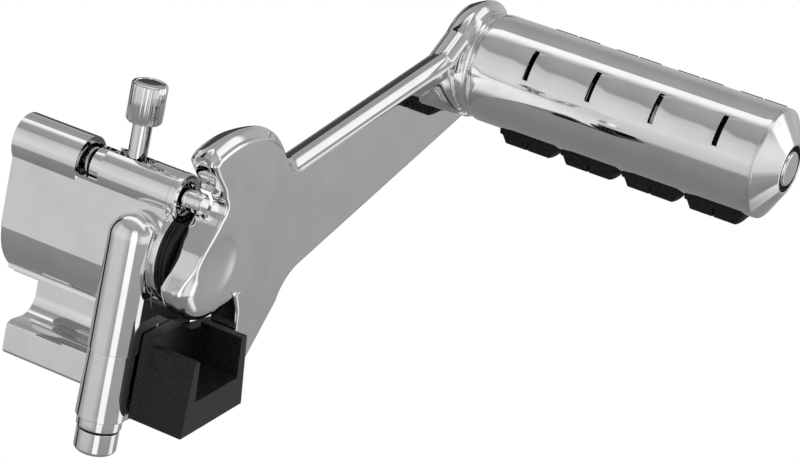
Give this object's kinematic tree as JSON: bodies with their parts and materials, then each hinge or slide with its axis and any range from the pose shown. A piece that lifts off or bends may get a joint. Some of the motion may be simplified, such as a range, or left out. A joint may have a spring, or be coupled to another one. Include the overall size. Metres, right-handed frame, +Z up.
{
  "type": "passenger peg",
  "caption": "Folding motorbike passenger footpeg: chromed tube clamp with spring plunger and saddle bracket, pivoting arm, and a round peg with rubber pads.",
  "frame": {"origin": "middle of the housing's flat underside that rests on the frame tube", "axes": "+X out along the peg, +Y from the clamp towards the eye of the arm, +Z up"},
  "size_m": [0.1793, 0.1909, 0.1222],
  "materials": {
    "chrome": "polished",
    "plain_steel": "zinc plated",
    "black_casting": "black coated casting",
    "black_plastic": "satin",
    "black_rubber": "matte"
  },
  "bodies": {
    "clamp": {"clamp_housing": "chrome", "barrel_plug": "chrome", "saddle_bracket": "black_casting", "bracket_screw_1": "plain_steel", "bracket_screw_2": "plain_steel", "friction_washer": "black_plastic", "pivot_bolt": "plain_steel", "pivot_bushing": "plain_steel"},
    "plunger": {"plunger_pin": "chrome", "plunger_spring": "plain_steel", "knob_stem": "chrome", "knob": "chrome"},
    "jaw": {"lower_jaw": "chrome", "bolt_sleeve": "chrome", "seal_ring": "black_rubber", "clamp_bolt": "chrome"},
    "arm": {"peg_arm": "chrome", "pivot_cap": "chrome", "peg_collar": "chrome", "wave_washer": "chrome", "peg_core": "plain_steel", "peg_shell": "chrome", "rubber_pad_1": "black_rubber", "rubber_pad_2": "black_rubber", "rubber_pad_3": "black_rubber", "rubber_pad_4": "black_rubber", "rubber_pad_5": "black_rubber", "rubber_pad_6": "black_rubber", "rubber_pad_7": "black_rubber", "rubber_pad_8": "black_rubber", "peg_end": "chrome", "end_washer": "black_rubber", "peg_bolt": "chrome", "peg_nut": "plain_steel"}
  },
  "joints": [
    {"name": "arm_pivot", "type": "hinge", "parent": "clamp", "child": "arm", "pos_m": [0.0495, -0.006, 0.025], "axis": [1, 0, 0], "range_deg": [0, 80]},
    {"name": "plunger_slide", "type": "slide", "parent": "clamp", "child": "plunger", "axis": [1, 0, 0], "range_m": [-0.0075, 0], "stiffness_N_per_m": 900, "springref_m": 0.006, "deforming": ["plunger_spring"]},
    {"name": "jaw_slide", "type": "slide", "parent": "clamp", "child": "jaw", "axis": [0, 0, -1], "range_m": [0, 0.008]}
  ]
}
